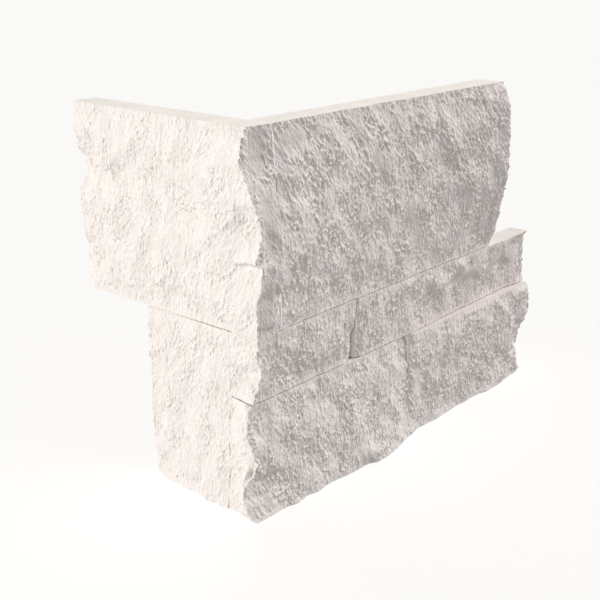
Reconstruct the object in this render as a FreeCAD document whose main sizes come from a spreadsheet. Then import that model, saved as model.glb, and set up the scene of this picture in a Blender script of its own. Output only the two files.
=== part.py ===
import FreeCAD, Part
import math
import os

# Corner piece of split-face stone cladding: seven sawn strips of pale limestone, bonded into an L.
# Three courses run along the long wing (+X) and two stones turn the corner along the short wing (+Y).
# Stones of neighbouring courses end at different places, so that the next panels interlock with them.
# The origin is the wall's outside corner at the foot of the piece: the wall fills x > 0, y > 0.
# All sizes are in millimetres.

doc = FreeCAD.newDocument("stone_corner_piece")

SIZES = [
    ("panel_height", 152.0, "foot to top of the three courses"),
    ("bottom_course_height", 47.25, "height of the lowest stones"),
    ("middle_course_height", 26.4, "height of the middle stones"),
    ("sawn_thickness", 12.2, "thickness of every stone at its sawn edges"),
    ("joint_width", 0.5, "bonded joint between two sawn faces"),
    ("upper_long_reach", 153.5, "wall corner to the end of the upper stone, long wing"),
    ("lower_long_reach", 191.0, "wall corner to the end of both lower courses, long wing"),
    ("upper_short_reach", 86.0, "wall corner to the end of the upper stone, short wing"),
    ("lower_short_reach", 44.5, "wall corner to the end of the lower stone, short wing"),
    ("middle_perpend", 50.0, "wall corner to the upright joint in the middle course"),
    ("bottom_perpend", 87.0, "wall corner to the upright joint in the bottom course"),
    ("bond_setback", 6.0, "how far the adhesive stays behind the sawn edge of a split face"),
    ("bond_margin", 1.5, "how far it stays inside the other edges"),
    ("split_allowance", 12.0, "extra thickness of a strip before its face is split"),
    ("facet_size", 5.0, "size of the chips that the splitting blade leaves"),
    ("chip_depth", 0.5, "how far single chips stand proud or lie back"),
    ("relief_scale", 1.0, "1 for the split faces as listed, less for flatter ones"),
]

sizes = doc.addObject("Spreadsheet::Sheet", "sizes")
for row, (alias, value, meaning) in enumerate(SIZES, start=1):
    sizes.set("A%d" % row, meaning)
    sizes.set("B%d" % row, str(value))
    sizes.setAlias("B%d" % row, alias)
doc.recompute()


def size(alias):
    """The number in one cell of the sheet."""
    return float(getattr(sizes, alias))


# Levels and ends that the split faces share with the blanks
half_joint = size("joint_width") / 2
lower_bed = size("bottom_course_height") + half_joint
upper_bed = lower_bed + half_joint + size("middle_course_height") + half_joint
corner = -size("sawn_thickness")     # the sawn edges of both split faces

# Split faces
# Each face is drawn by upright sections, as a mason would template it. A section is
# (share of the way from the corner end to the far end of the face, its profile), and a profile is
# a list of (share of the way up the face, height over the sawn edge in millimetres).

UPPER_LONG_FACE = [
    (0.00, [(0, 2.2), (0.07, 2.9), (0.17, 3.4), (0.24, 5.4), (0.30, 5.3), (0.35, 6.9), (0.38, 5.8),
            (0.44, 6.2), (0.51, 7.0), (0.56, 6.9), (0.61, 5.4), (0.66, 4.6), (0.73, 3.6), (0.78, 1.7),
            (0.85, 0.6), (0.92, -0.2), (1, -0.8)]),
    (0.075, [(0, 2.6), (0.07, 3.2), (0.17, 3.4), (0.28, 4.9), (0.39, 5.0), (0.57, 4.0), (0.74, 1.6),
             (0.85, -0.2), (1, -0.7)]),
    (0.12, [(0, 1.5), (0.20, 3.0), (0.40, 4.8), (0.58, 4.4), (0.73, 2.4), (0.90, 0.4), (1, -0.3)]),
    (0.38, [(0, 0.5), (0.25, 1.6), (0.50, 2.2), (0.75, 1.7), (1, 0)]),
    (0.66, [(0, -0.6), (0.25, 0.8), (0.55, 2.0), (0.80, 1.8), (1, 0.2)]),
    (0.93, [(0, -1.1), (0.25, 1.5), (0.50, 3.8), (0.75, 3.9), (0.90, 2.2), (1, 0.6)]),
    (1.00, [(0, -1.5), (0.12, 1.5), (0.25, 2.8), (0.35, 4.8), (0.45, 6.6), (0.65, 6.4),
            (0.86, 5.4), (0.95, 3.0), (1, 1.0)]),
]
UPPER_SHORT_FACE = [
    (0.00, [(0, -0.4), (0.07, 0.4), (0.17, 1.3), (0.24, 0.3), (0.35, 0.7), (0.38, 3.0), (0.44, 2.3),
            (0.51, 1.5), (0.61, 2.7), (0.66, 4.3), (0.73, 5.1), (0.78, 4.5), (0.85, 5.3), (0.92, 3.8),
            (0.97, 2.3), (1, 1.0)]),
    (0.12, [(0, 0.0), (0.30, 1.0), (0.60, 3.0), (0.80, 4.5), (0.95, 2.0), (1, 0.5)]),
    (0.40, [(0, 0.0), (0.30, 0.5), (0.55, -0.5), (0.75, 1.5), (0.92, 1.0), (1, 0)]),
    (0.78, [(0, 0.0), (0.20, -0.5), (0.45, 1.0), (0.62, -1.0), (0.80, 0.8), (1, 0)]),
    (0.92, [(0, 0.2), (0.20, -2.0), (0.45, 0.0), (0.62, -3.5), (0.75, -2.0), (0.88, 0.5), (1, 0)]),
    (1.00, [(0, -6.0), (0.04, -4.0), (0.20, -3.7), (0.28, -2.0), (0.45, -1.2), (0.54, -2.5),
            (0.62, -6.0), (0.70, -4.0), (0.76, -0.8), (0.88, -0.3), (1, -1.0)]),
]
LOWER_SHORT_FACE = [
    (0.00, [(0, 2.0), (0.10, 1.5), (0.35, 0.0), (0.65, -0.8), (1, -1.8)]),
    (0.25, [(0, 3.5), (0.12, 2.5), (0.40, 0.5), (0.70, 0.0), (1, -0.8)]),
    (0.60, [(0, 1.5), (0.20, 1.0), (0.50, 0.3), (0.80, 0.5), (1, 0)]),
    (1.00, [(0, -1.2), (0.08, -1.3), (0.20, 0.3), (0.45, 0.6), (0.60, 0.8), (0.82, 1.3), (1, 0.8)]),
]
MIDDLE_CORNER_LONG_FACE = [
    (0.00, [(0, 0.5), (0.09, 0.8), (0.31, 1.6), (0.46, 2.6), (0.65, 1.7), (0.84, 2.4), (1, 2.2)]),
    (0.40, [(0, -0.3), (0.50, 1.0), (1, 1.2)]),
    (0.93, [(0, -0.9), (0.50, 0.4), (1, 0.5)]),
    (1.00, [(0, -3.6), (0.35, -2.5), (0.65, -0.4), (1, 0.3)]),
]
MIDDLE_CORNER_END_FACE = [
    (0.00, [(0, 0.5), (0.09, 0.3), (0.31, -1.2), (0.46, -1.3), (0.65, -0.2), (0.84, -0.6), (1, -0.6)]),
    (1.00, [(0, -0.9), (1, -1.8)]),
]
MIDDLE_END_LONG_FACE = [
    (0.00, [(0, -1.8), (0.30, -1.0), (0.60, 0.0), (1, 0.5)]),
    (0.03, [(0, -0.4), (0.50, 0.5), (1, 0.4)]),
    (0.30, [(0, -1.2), (0.40, -1.5), (0.80, 0.0), (1, -0.5)]),
    (0.60, [(0, -3.2), (0.40, -2.5), (0.80, -0.5), (1, -0.9)]),
    (0.88, [(0, -4.5), (0.40, -4.0), (0.80, -2.5), (1, -1.6)]),
    (1.00, [(0, -3.0), (0.40, -3.9), (0.75, -4.6), (0.90, -4.2), (1, -2.4)]),
]
BOTTOM_CORNER_LONG_FACE = [
    (0.00, [(0, 4.2), (0.04, 3.4), (0.11, 2.4), (0.21, 0.8), (0.34, 0.6), (0.42, 2.4), (0.49, 3.2),
            (0.55, 2.4), (0.66, 2.4), (0.76, 1.0), (1, 0.3)]),
    (0.30, [(0, 4.6), (0.25, 3.5), (0.60, 2.0), (1, -0.2)]),
    (0.55, [(0, 5.2), (0.25, 4.5), (0.60, 2.5), (1, -0.3)]),
    (0.72, [(0, 7.5), (0.20, 5.5), (0.50, 3.0), (0.80, 1.0), (1, 0)]),
    (0.86, [(0, 6.2), (0.25, 4.0), (0.60, 1.5), (1, -0.5)]),
    (1.00, [(0, 2.2), (0.40, 1.0), (0.75, -0.8), (1, -3.0)]),
]
BOTTOM_CORNER_END_FACE = [
    (0.00, [(0, 3.2), (0.04, 5.0), (0.11, 6.2), (0.21, 7.2), (0.34, 6.4), (0.42, 1.6), (0.49, 1.1),
            (0.55, 2.4), (0.66, 3.4), (0.76, 5.2), (0.87, 4.1), (1, 4.3)]),
    (0.45, [(0, 1.8), (0.20, 2.5), (0.50, 0.6), (0.75, 1.5), (1, 1.2)]),
    (1.00, [(0, 1.5), (0.20, 0.0), (0.50, -0.8), (1, -0.9)]),
]
BOTTOM_END_LONG_FACE = [
    (0.00, [(0, 1.6), (0.50, 1.0), (0.75, 0.0), (1, -2.2)]),
    (0.05, [(0, 0.9), (0.40, 1.2), (0.85, 1.0), (1, 0.2)]),
    (0.55, [(0, 0.8), (0.40, 1.2), (0.80, 1.4), (0.95, 0.6), (1, -0.3)]),
    (0.80, [(0, 0.8), (0.30, 0.8), (0.55, 1.5), (0.90, 1.4), (1, 0)]),
    (0.92, [(0, 0.5), (0.20, -1.0), (0.35, -2.2), (0.50, -0.5), (0.70, 1.2), (0.93, 1.4), (1, -0.3)]),
    (1.00, [(0, -1.6), (0.06, -3.6), (0.30, -5.6), (0.40, -4.5), (0.50, -2.4), (0.60, 0.0),
            (0.70, 1.1), (0.93, 1.0), (1, -1.0)]),
]


def eased(start, end, share):
    """From start to end along an S curve that is level at both."""
    return start + (end - start) * share * share * (3 - 2 * share)


def between(stations, place, height_at):
    """Height at a place between the two stations that hold it, clamped to the first and the last."""
    if place <= stations[0][0]:
        return height_at(stations[0][1])
    for (low, low_value), (high, high_value) in zip(stations, stations[1:]):
        if place <= high:
            share = (place - low) / (high - low)
            return eased(height_at(low_value), height_at(high_value), share)
    return height_at(stations[-1][1])


def face_height(sections, along, up):
    """Height of a split face over the sawn edge, from its sections."""
    return between(sections, along, lambda profile: between(profile, up, lambda height: height))


# Scatter of the chips
COLUMN_PHASE = 12.99
ROW_PHASE = 78.23
SEED_PHASE = 37.72
SCATTER_GAIN = 4375.85    # large, so that neighbouring chips have nothing in common
LOOSE_SHARE = 0.3         # how far a chip's corner strays from its even place, as a share of a chip
SCATTER_SEEDS = 4         # seeds that one face uses: chip depth, sideways, upwards and diagonal


def scatter(column, row, seed):
    """A fixed number from -1 to 1 that looks random, for one corner of one chip."""
    wave = math.sin(column * COLUMN_PHASE + row * ROW_PHASE + seed * SEED_PHASE) * SCATTER_GAIN
    return 2 * (wave - math.floor(wave)) - 1


def spread(first, last, step):
    """Evenly spaced places from first to last, about a step apart."""
    count = max(2, math.ceil((last - first) / step))
    return [first + (last - first) * index / count for index in range(count + 1)]


def split_body(name, seed, sections, reach, levels, behind, on_face):
    """Everything behind one split face, wider and taller than the stones that it is split from.

    reach and levels are the ends and the bottom and top of the face, and behind is how far the
    stones reach past the wall line. on_face turns a place along the wing, a height over the sawn
    edge and a level into a point.
    """
    step = size("facet_size")
    margin = size("split_allowance") + 2 * step
    back = -size("sawn_thickness") - behind - margin
    columns = spread(reach[0] - margin, reach[1] + margin, step)
    rows = spread(levels[0] - margin, levels[1] + margin, step)
    loose = LOOSE_SHARE * step

    front = []
    rear = []
    for i, place in enumerate(columns):
        inside_column = 0 < i < len(columns) - 1
        for j, level in enumerate(rows):
            inside = inside_column and 0 < j < len(rows) - 1
            sideways = loose * scatter(i, j, seed + 1) if inside else 0
            upwards = loose * scatter(i, j, seed + 2) if inside else 0
            along = (place + sideways - reach[0]) / (reach[1] - reach[0])
            up = (level + upwards - levels[0]) / (levels[1] - levels[0])
            height = size("relief_scale") * face_height(sections, along, up)
            height += size("chip_depth") * scatter(i, j, seed)
            front.append(on_face(place + sideways, height, level + upwards))
            rear.append(on_face(place, back, level))

    tall = len(rows)
    loops = []
    for i in range(len(columns) - 1):
        for j in range(tall - 1):
            a, b = i * tall + j, (i + 1) * tall + j
            c, d = b + 1, a + 1
            if scatter(i, j, seed + 3) > 0:
                triangles = [(a, b, c), (a, c, d)]
            else:
                triangles = [(a, b, d), (b, c, d)]
            loops += [[front[corner_index] for corner_index in triangle] for triangle in triangles]

    foot = [i * tall for i in range(len(columns))]
    end = [foot[-1] + j for j in range(tall)]
    head = [start + tall - 1 for start in reversed(foot)]
    rim = foot + end[1:] + head[1:] + list(range(tall - 2, -1, -1))
    for here, there in zip(rim, rim[1:]):
        loops.append([front[here], rear[here], rear[there], front[there]])
    loops.append([rear[0], rear[foot[-1]], rear[end[-1]], rear[tall - 1]])

    faces = [Part.Face(Part.makePolygon(loop + [loop[0]])) for loop in loops]
    shell = Part.makeShell(faces)
    shell.sewShape()
    solid = Part.makeSolid(shell)
    if solid.Volume < 0:
        solid.reverse()
    body = doc.addObject("Part::Feature", name)
    body.Shape = solid
    return body


def on_long_face(place, height, level):
    """A point on the long wing, which runs along +X and faces -Y."""
    return FreeCAD.Vector(place, corner - height, level)


def on_short_face(place, height, level):
    """A point on the short wing, which runs along +Y and faces -X."""
    return FreeCAD.Vector(corner - height, place, level)


# Blanks, as the strips come off the saw

def strip(name, start, span, depth_start, depth, level, height):
    """A sawn block whose place and size are bound to the sheet: start and span run along +X."""
    box = doc.addObject("Part::Box", name)
    box.setExpression("Placement.Base.x", start)
    box.setExpression("Length", span)
    box.setExpression("Placement.Base.y", depth_start)
    box.setExpression("Width", depth)
    box.setExpression("Placement.Base.z", level)
    box.setExpression("Height", height)
    return box


THICK = "(sizes.sawn_thickness + sizes.split_allowance)"
JOINT = "sizes.joint_width"
HALF = "sizes.joint_width / 2"
LOWER_BED = "(sizes.bottom_course_height + %s)" % HALF
UPPER_BED = "(%s + sizes.joint_width + sizes.middle_course_height)" % LOWER_BED
ABOVE_LOWER_BED = "%s + %s" % (LOWER_BED, HALF)
ABOVE_UPPER_BED = "%s + %s" % (UPPER_BED, HALF)
UPPER_HEIGHT = "sizes.panel_height - (%s)" % ABOVE_UPPER_BED

blanks = {
    "short_wing_upper_stone": strip(
        "short_wing_upper_blank", "-" + THICK, THICK,
        "-" + THICK, THICK + " + sizes.upper_short_reach", ABOVE_UPPER_BED, UPPER_HEIGHT),
    "short_wing_lower_stone": strip(
        "short_wing_lower_blank", "-" + THICK, THICK,
        JOINT, "sizes.lower_short_reach - " + JOINT, "0", UPPER_BED + " - " + HALF),
    "long_wing_upper_stone": strip(
        "long_wing_upper_blank", JOINT, "sizes.upper_long_reach - " + JOINT,
        "-" + THICK, THICK, ABOVE_UPPER_BED, UPPER_HEIGHT),
    "middle_course_corner_stone": strip(
        "middle_course_corner_blank", "-" + THICK, THICK + " + sizes.middle_perpend - " + HALF,
        "-" + THICK, THICK, ABOVE_LOWER_BED, "sizes.middle_course_height"),
    "middle_course_end_stone": strip(
        "middle_course_end_blank", "sizes.middle_perpend + " + HALF,
        "sizes.lower_long_reach - sizes.middle_perpend - " + HALF,
        "-" + THICK, THICK, ABOVE_LOWER_BED, "sizes.middle_course_height"),
    "bottom_course_corner_stone": strip(
        "bottom_course_corner_blank", "-" + THICK, THICK + " + sizes.bottom_perpend - " + HALF,
        "-" + THICK, THICK, "0", "sizes.bottom_course_height"),
    "bottom_course_end_stone": strip(
        "bottom_course_end_blank", "sizes.bottom_perpend + " + HALF,
        "sizes.lower_long_reach - sizes.bottom_perpend - " + HALF,
        "-" + THICK, THICK, "0", "sizes.bottom_course_height"),
}

# Split faces over the ends and levels of their stones: the sections, the ends along the wing, the
# bottom and top, how far the stones reach past the wall line, and the wing
upper_levels = (upper_bed + half_joint, size("panel_height"))
middle_levels = (lower_bed + half_joint, upper_bed - half_joint)
bottom_levels = (0.0, lower_bed - half_joint)
lower_short_levels = (0.0, upper_bed - half_joint)

SPLIT_FACES = {
    "upper_long": (
        UPPER_LONG_FACE, (corner, size("upper_long_reach")), upper_levels,
        size("upper_short_reach"), on_long_face),
    "upper_short": (
        UPPER_SHORT_FACE, (corner, size("upper_short_reach")), upper_levels, 0.0, on_short_face),
    "lower_short": (
        LOWER_SHORT_FACE, (0.0, size("lower_short_reach")), lower_short_levels, 0.0, on_short_face),
    "middle_corner_long": (
        MIDDLE_CORNER_LONG_FACE, (corner, size("middle_perpend")), middle_levels, 0.0, on_long_face),
    "middle_corner_end": (
        MIDDLE_CORNER_END_FACE, (corner, 0.0), middle_levels, size("middle_perpend"), on_short_face),
    "middle_end_long": (
        MIDDLE_END_LONG_FACE, (size("middle_perpend"), size("lower_long_reach")), middle_levels,
        0.0, on_long_face),
    "bottom_corner_long": (
        BOTTOM_CORNER_LONG_FACE, (corner, size("bottom_perpend")), bottom_levels, 0.0, on_long_face),
    "bottom_corner_end": (
        BOTTOM_CORNER_END_FACE, (corner, 0.0), bottom_levels, size("bottom_perpend"), on_short_face),
    "bottom_end_long": (
        BOTTOM_END_LONG_FACE, (size("bottom_perpend"), size("lower_long_reach")), bottom_levels,
        0.0, on_long_face),
}
splits = {}
for number, (name, face) in enumerate(SPLIT_FACES.items()):
    splits[name] = split_body(name + "_split", number * SCATTER_SEEDS, *face)

# Stones: a blank with one split face, or two where it turns the corner
STONE_FACES = {
    "short_wing_upper_stone": ["upper_short", "upper_long"],
    "short_wing_lower_stone": ["lower_short"],
    "long_wing_upper_stone": ["upper_long"],
    "middle_course_corner_stone": ["middle_corner_long", "middle_corner_end"],
    "middle_course_end_stone": ["middle_end_long"],
    "bottom_course_corner_stone": ["bottom_corner_long", "bottom_corner_end"],
    "bottom_course_end_stone": ["bottom_end_long"],
}


def split_stone(label):
    """The blank of one stone, split by each of its faces in turn."""
    stone = blanks[label]
    for face in STONE_FACES[label]:
        rough = doc.addObject("Part::Common", "%s_%s" % (label, face))
        rough.Base = stone
        rough.Tool = splits[face]
        stone = rough
    stone.Label = label
    return stone


stones = [split_stone(label) for label in STONE_FACES]

# Cured adhesive in the joints, set back from every open edge

MARGIN = "sizes.bond_margin"
BOND_START = "-sizes.sawn_thickness + sizes.bond_setback"
BOND_DEPTH = "sizes.sawn_thickness - sizes.bond_setback - " + MARGIN


def bond_strip(label, start, span, depth_start, depth, level, height):
    """A film of adhesive, bound to the sheet as a blank is."""
    bond = strip(label + "_strip", start, span, depth_start, depth, level, height)
    bond.Label = label
    return bond



def bond_length(reach):
    """From the adhesive's start at the corner to its margin at the end of a wing."""
    return "%s - %s - (%s)" % (reach, MARGIN, BOND_START)


long_leg = strip(
    "upper_bed_long_leg", BOND_START, bond_length("sizes.upper_long_reach"),
    BOND_START, BOND_DEPTH, UPPER_BED + " - " + HALF, JOINT)
short_leg = strip(
    "upper_bed_short_leg", BOND_START, BOND_DEPTH,
    BOND_START, bond_length("sizes.lower_short_reach"), UPPER_BED + " - " + HALF, JOINT)
upper_bed_adhesive = doc.addObject("Part::Fuse", "upper_bed_legs")
upper_bed_adhesive.Base = long_leg
upper_bed_adhesive.Tool = short_leg
upper_bed_adhesive.Refine = True
upper_bed_adhesive.Label = "upper_bed_adhesive"

bonds = [
    upper_bed_adhesive,
    bond_strip(
        "lower_bed_adhesive", BOND_START, bond_length("sizes.lower_long_reach"),
        BOND_START, BOND_DEPTH, LOWER_BED + " - " + HALF, JOINT),
    bond_strip(
        "upper_corner_adhesive", "0", JOINT, BOND_START, BOND_DEPTH,
        ABOVE_UPPER_BED + " + " + MARGIN, "%s - 2 * %s" % (UPPER_HEIGHT, MARGIN)),
    bond_strip(
        "lower_corner_adhesive", BOND_START, BOND_DEPTH, "0", JOINT,
        MARGIN, "%s - %s - 2 * %s" % (UPPER_BED, HALF, MARGIN)),
    bond_strip(
        "middle_perpend_adhesive", "sizes.middle_perpend - " + HALF, JOINT, BOND_START, BOND_DEPTH,
        ABOVE_LOWER_BED + " + " + MARGIN, "sizes.middle_course_height - 2 * " + MARGIN),
    bond_strip(
        "bottom_perpend_adhesive", "sizes.bottom_perpend - " + HALF, JOINT, BOND_START, BOND_DEPTH,
        MARGIN, "sizes.bottom_course_height - 2 * " + MARGIN),
]

doc.recompute()

for item in doc.Objects:
    if "Invalid" in item.State or "Error" in item.State:
        raise RuntimeError("%s did not build: %s" % (item.Name, item.State))

os.makedirs("parts", exist_ok=True)
for piece in stones + bonds:
    shape = piece.Shape
    if shape.isNull() or not shape.isValid():
        raise RuntimeError("%s has no sound shape" % piece.Label)
    if len(shape.Solids) != 1:
        raise RuntimeError("%s should be one solid" % piece.Label)
    shape.exportStep("parts/%s.step" % piece.Label)
    print("%-28s %9.1f mm3  %4d faces" % (piece.Label, shape.Volume, len(shape.Faces)))
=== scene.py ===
import math

import bpy
import numpy as np
from mathutils import Matrix, Vector


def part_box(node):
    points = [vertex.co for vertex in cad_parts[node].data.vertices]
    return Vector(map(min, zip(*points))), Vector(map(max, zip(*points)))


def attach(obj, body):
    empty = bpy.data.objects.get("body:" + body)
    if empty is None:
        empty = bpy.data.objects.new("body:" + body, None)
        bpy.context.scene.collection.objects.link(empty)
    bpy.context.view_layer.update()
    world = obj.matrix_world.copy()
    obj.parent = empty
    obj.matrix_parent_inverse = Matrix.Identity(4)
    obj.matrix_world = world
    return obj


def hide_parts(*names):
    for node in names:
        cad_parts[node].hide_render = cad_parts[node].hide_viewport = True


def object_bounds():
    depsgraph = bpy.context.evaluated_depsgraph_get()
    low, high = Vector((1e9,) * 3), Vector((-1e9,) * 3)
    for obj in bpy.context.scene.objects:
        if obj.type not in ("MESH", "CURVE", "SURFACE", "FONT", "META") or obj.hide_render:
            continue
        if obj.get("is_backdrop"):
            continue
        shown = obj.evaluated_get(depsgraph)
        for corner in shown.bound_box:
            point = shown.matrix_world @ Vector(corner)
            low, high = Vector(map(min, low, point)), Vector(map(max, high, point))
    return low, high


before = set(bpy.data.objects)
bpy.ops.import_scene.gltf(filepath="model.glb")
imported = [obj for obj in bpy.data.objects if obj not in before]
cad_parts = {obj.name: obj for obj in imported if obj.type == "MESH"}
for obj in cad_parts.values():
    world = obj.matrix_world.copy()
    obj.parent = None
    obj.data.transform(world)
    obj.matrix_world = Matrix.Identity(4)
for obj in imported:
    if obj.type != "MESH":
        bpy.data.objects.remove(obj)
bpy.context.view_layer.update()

# Split-face stone corner piece: seven strips of pale limestone and the pigmented resin in their joints.
# The wall's outside corner is the origin. The long wing runs along +X and faces -Y, and the short wing
# runs along +Y and faces -X. Lengths are millimetres until a mesh is made.

METRE = 0.001
SEED = 41
SAWN_EDGE = -12.2         # the plane of the sawn edges of both split faces, in front of the wall
GRAIN_STEP = 0.33         # spacing of the points across the grain of a split face
LEVEL_STEP = 0.47         # spacing of the levels, which run with the grain
SAWN_STEP = 2.4           # spacing of the points across a sawn face

# Relief
# A face is drawn by upright sections, as a mason would template it. A section is (share of the way
# from the corner end to the far end, its profile), and a profile is a list of (share of the way up,
# height over the sawn edge).

UPPER_LONG_FACE = [
    (0.00, [(0, 2.2), (0.07, 2.9), (0.17, 3.4), (0.24, 5.2), (0.30, 5.0), (0.35, 5.6), (0.38, 5.0),
            (0.44, 5.0), (0.51, 4.7), (0.56, 4.4), (0.61, 3.6), (0.66, 2.6), (0.73, 1.6), (0.78, 0.4),
            (0.85, -0.6), (0.92, -1.2), (1, -1.4)]),
    (0.075, [(0, 2.6), (0.07, 3.2), (0.17, 3.4), (0.28, 4.9), (0.39, 5.0), (0.57, 4.0), (0.74, 1.6),
             (0.85, -0.2), (1, -0.7)]),
    (0.12, [(0, 1.5), (0.20, 3.0), (0.40, 4.8), (0.58, 4.4), (0.73, 2.4), (0.90, 0.4), (1, -0.3)]),
    (0.38, [(0, 0.5), (0.25, 1.6), (0.50, 2.2), (0.75, 1.7), (1, 0)]),
    (0.66, [(0, -0.6), (0.25, 0.8), (0.55, 2.0), (0.80, 1.8), (1, 0.2)]),
    (0.93, [(0, -1.1), (0.25, 1.8), (0.50, 4.4), (0.75, 4.4), (0.90, 2.6), (1, 0.6)]),
    (1.00, [(0, -1.5), (0.12, 1.5), (0.25, 2.8), (0.35, 4.8), (0.45, 6.6), (0.65, 6.4),
            (0.86, 5.4), (0.95, 3.0), (1, 1.0)]),
]
UPPER_SHORT_FACE = [
    (0.00, [(0, -0.4), (0.07, 0.4), (0.17, 1.3), (0.24, 0.1), (0.35, -0.6), (0.38, 2.2), (0.44, 1.0),
            (0.51, -0.9), (0.61, 0.8), (0.66, 2.2), (0.73, 3.0), (0.78, 3.2), (0.85, 4.0), (0.92, 2.8),
            (0.97, 1.5), (1, 0.4)]),
    (0.12, [(0, 0.0), (0.30, 1.0), (0.60, 3.0), (0.80, 4.5), (0.95, 2.0), (1, 0.5)]),
    (0.40, [(0, 0.0), (0.30, 0.5), (0.55, -0.5), (0.75, 1.5), (0.92, 1.0), (1, 0)]),
    (0.78, [(0, 0.0), (0.20, -0.5), (0.45, 1.0), (0.62, -1.0), (0.80, 0.8), (1, 0)]),
    (0.92, [(0, 0.2), (0.20, -2.0), (0.45, 0.0), (0.62, -3.5), (0.75, -2.0), (0.88, 0.5), (1, 0)]),
    (1.00, [(0, -6.0), (0.04, -4.0), (0.20, -3.7), (0.28, -2.0), (0.45, -1.2), (0.54, -2.5),
            (0.62, -6.0), (0.70, -4.0), (0.76, -0.8), (0.88, -0.3), (1, -1.0)]),
]
LOWER_SHORT_FACE = [
    (0.00, [(0, 2.0), (0.10, 1.5), (0.35, 0.0), (0.65, -0.8), (1, -0.3)]),
    (0.25, [(0, 3.5), (0.12, 2.5), (0.40, 0.5), (0.70, 0.0), (1, -0.2)]),
    (0.60, [(0, 1.5), (0.20, 1.0), (0.50, 0.3), (0.80, 0.5), (1, 0)]),
    (1.00, [(0, -1.2), (0.08, -1.3), (0.20, 0.3), (0.45, 0.6), (0.60, 0.8), (0.82, 1.3), (1, 0.8)]),
]
MIDDLE_CORNER_LONG_FACE = [
    (0.00, [(0, 0.2), (0.09, 0.4), (0.31, 1.0), (0.46, 1.6), (0.65, 1.1), (0.84, 1.9), (1, 2.2)]),
    (0.21, [(0, 0.1), (0.31, 0.9), (0.50, 1.4), (0.84, 2.3), (1, 2.5)]),
    (0.40, [(0, -0.3), (0.50, 1.0), (1, 1.2)]),
    (0.88, [(0, -0.5), (0.50, 0.5), (1, 0.5)]),
    (0.94, [(0, -2.0), (0.30, -0.8), (0.60, 0.5), (1, 0.5)]),
    (1.00, [(0, -4.2), (0.30, -3.2), (0.55, -1.2), (0.72, 0.2), (1, 0.3)]),
]
MIDDLE_CORNER_END_FACE = [
    (0.00, [(0, 0.2), (0.09, -0.1), (0.31, -1.8), (0.46, -2.3), (0.65, -0.8), (0.84, -1.1), (1, -0.5)]),
    (1.00, [(0, -0.8), (1, -0.3)]),
]
MIDDLE_END_LONG_FACE = [
    (0.00, [(0, -1.8), (0.30, -1.0), (0.60, 0.0), (1, 0.5)]),
    (0.03, [(0, -0.4), (0.50, 0.5), (1, 0.4)]),
    (0.30, [(0, -1.2), (0.40, -1.5), (0.80, 0.0), (1, -0.5)]),
    (0.60, [(0, -3.2), (0.40, -2.5), (0.80, -0.5), (1, -0.9)]),
    (0.88, [(0, -4.5), (0.40, -4.0), (0.80, -2.5), (1, -1.6)]),
    (1.00, [(0, -3.0), (0.40, -3.9), (0.75, -4.6), (0.90, -4.2), (1, -2.4)]),
]
BOTTOM_CORNER_LONG_FACE = [
    (0.00, [(0, 4.2), (0.04, 3.4), (0.11, 2.4), (0.21, 0.8), (0.34, 0.6), (0.42, 1.6), (0.49, 2.0),
            (0.55, 1.6), (0.66, 1.6), (0.76, 0.6), (1, 0.1)]),
    (0.30, [(0, 4.6), (0.25, 3.5), (0.60, 2.0), (1, -0.2)]),
    (0.55, [(0, 5.2), (0.25, 4.5), (0.60, 2.5), (1, -0.3)]),
    (0.72, [(0, 7.5), (0.20, 5.5), (0.50, 3.0), (0.80, 1.0), (1, 0)]),
    (0.86, [(0, 6.2), (0.25, 4.0), (0.60, 1.5), (1, -0.5)]),
    (1.00, [(0, 1.8), (0.45, 1.0), (0.70, 0.4), (0.82, -1.0), (1, -3.0)]),
]
BOTTOM_CORNER_END_FACE = [
    (0.00, [(0, 3.2), (0.04, 5.0), (0.11, 6.2), (0.21, 7.2), (0.34, 6.4), (0.42, 0.8), (0.49, -0.1),
            (0.55, 1.6), (0.66, 2.6), (0.76, 4.8), (0.87, 3.9), (0.97, 3.6), (1, 0.9)]),
    (0.45, [(0, 1.8), (0.20, 2.5), (0.50, 0.6), (0.75, 1.3), (0.93, 0.8), (1, 0.0)]),
    (1.00, [(0, 2.0), (0.16, 1.5), (0.55, 0.0), (1, -0.8)]),
]
BOTTOM_END_LONG_FACE = [
    (0.00, [(0, 1.8), (0.45, 1.0), (0.70, 0.4), (0.82, -0.6), (1, -2.2)]),
    (0.05, [(0, 0.9), (0.40, 1.2), (0.85, 1.0), (1, 0.2)]),
    (0.55, [(0, 0.8), (0.40, 1.2), (0.80, 1.4), (0.95, 0.6), (1, -0.3)]),
    (0.80, [(0, 0.8), (0.30, 0.8), (0.55, 1.5), (0.90, 1.4), (1, 0)]),
    (0.92, [(0, 0.5), (0.20, -1.0), (0.35, -2.2), (0.50, -0.5), (0.70, 1.2), (0.93, 1.4), (1, -0.3)]),
    (1.00, [(0, -1.6), (0.06, -3.6), (0.30, -5.6), (0.40, -4.5), (0.50, -2.4), (0.60, 0.0),
            (0.70, 1.1), (0.93, 1.0), (1, -1.0)]),
]

# Scallops left by flakes at the corner, as (place, level, half width, half height, depth)
UPPER_END_MARKS = [
    (-7.5, 144.5, 6.5, 8.0, 0.9), (-6.0, 108.0, 5.0, 7.0, 0.8), (-9.0, 88.0, 5.0, 8.0, 0.7)]
SHORT_FOOT_MARKS = [(8.5, 1.0, 3.5, 3.0, 1.6)]

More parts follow.
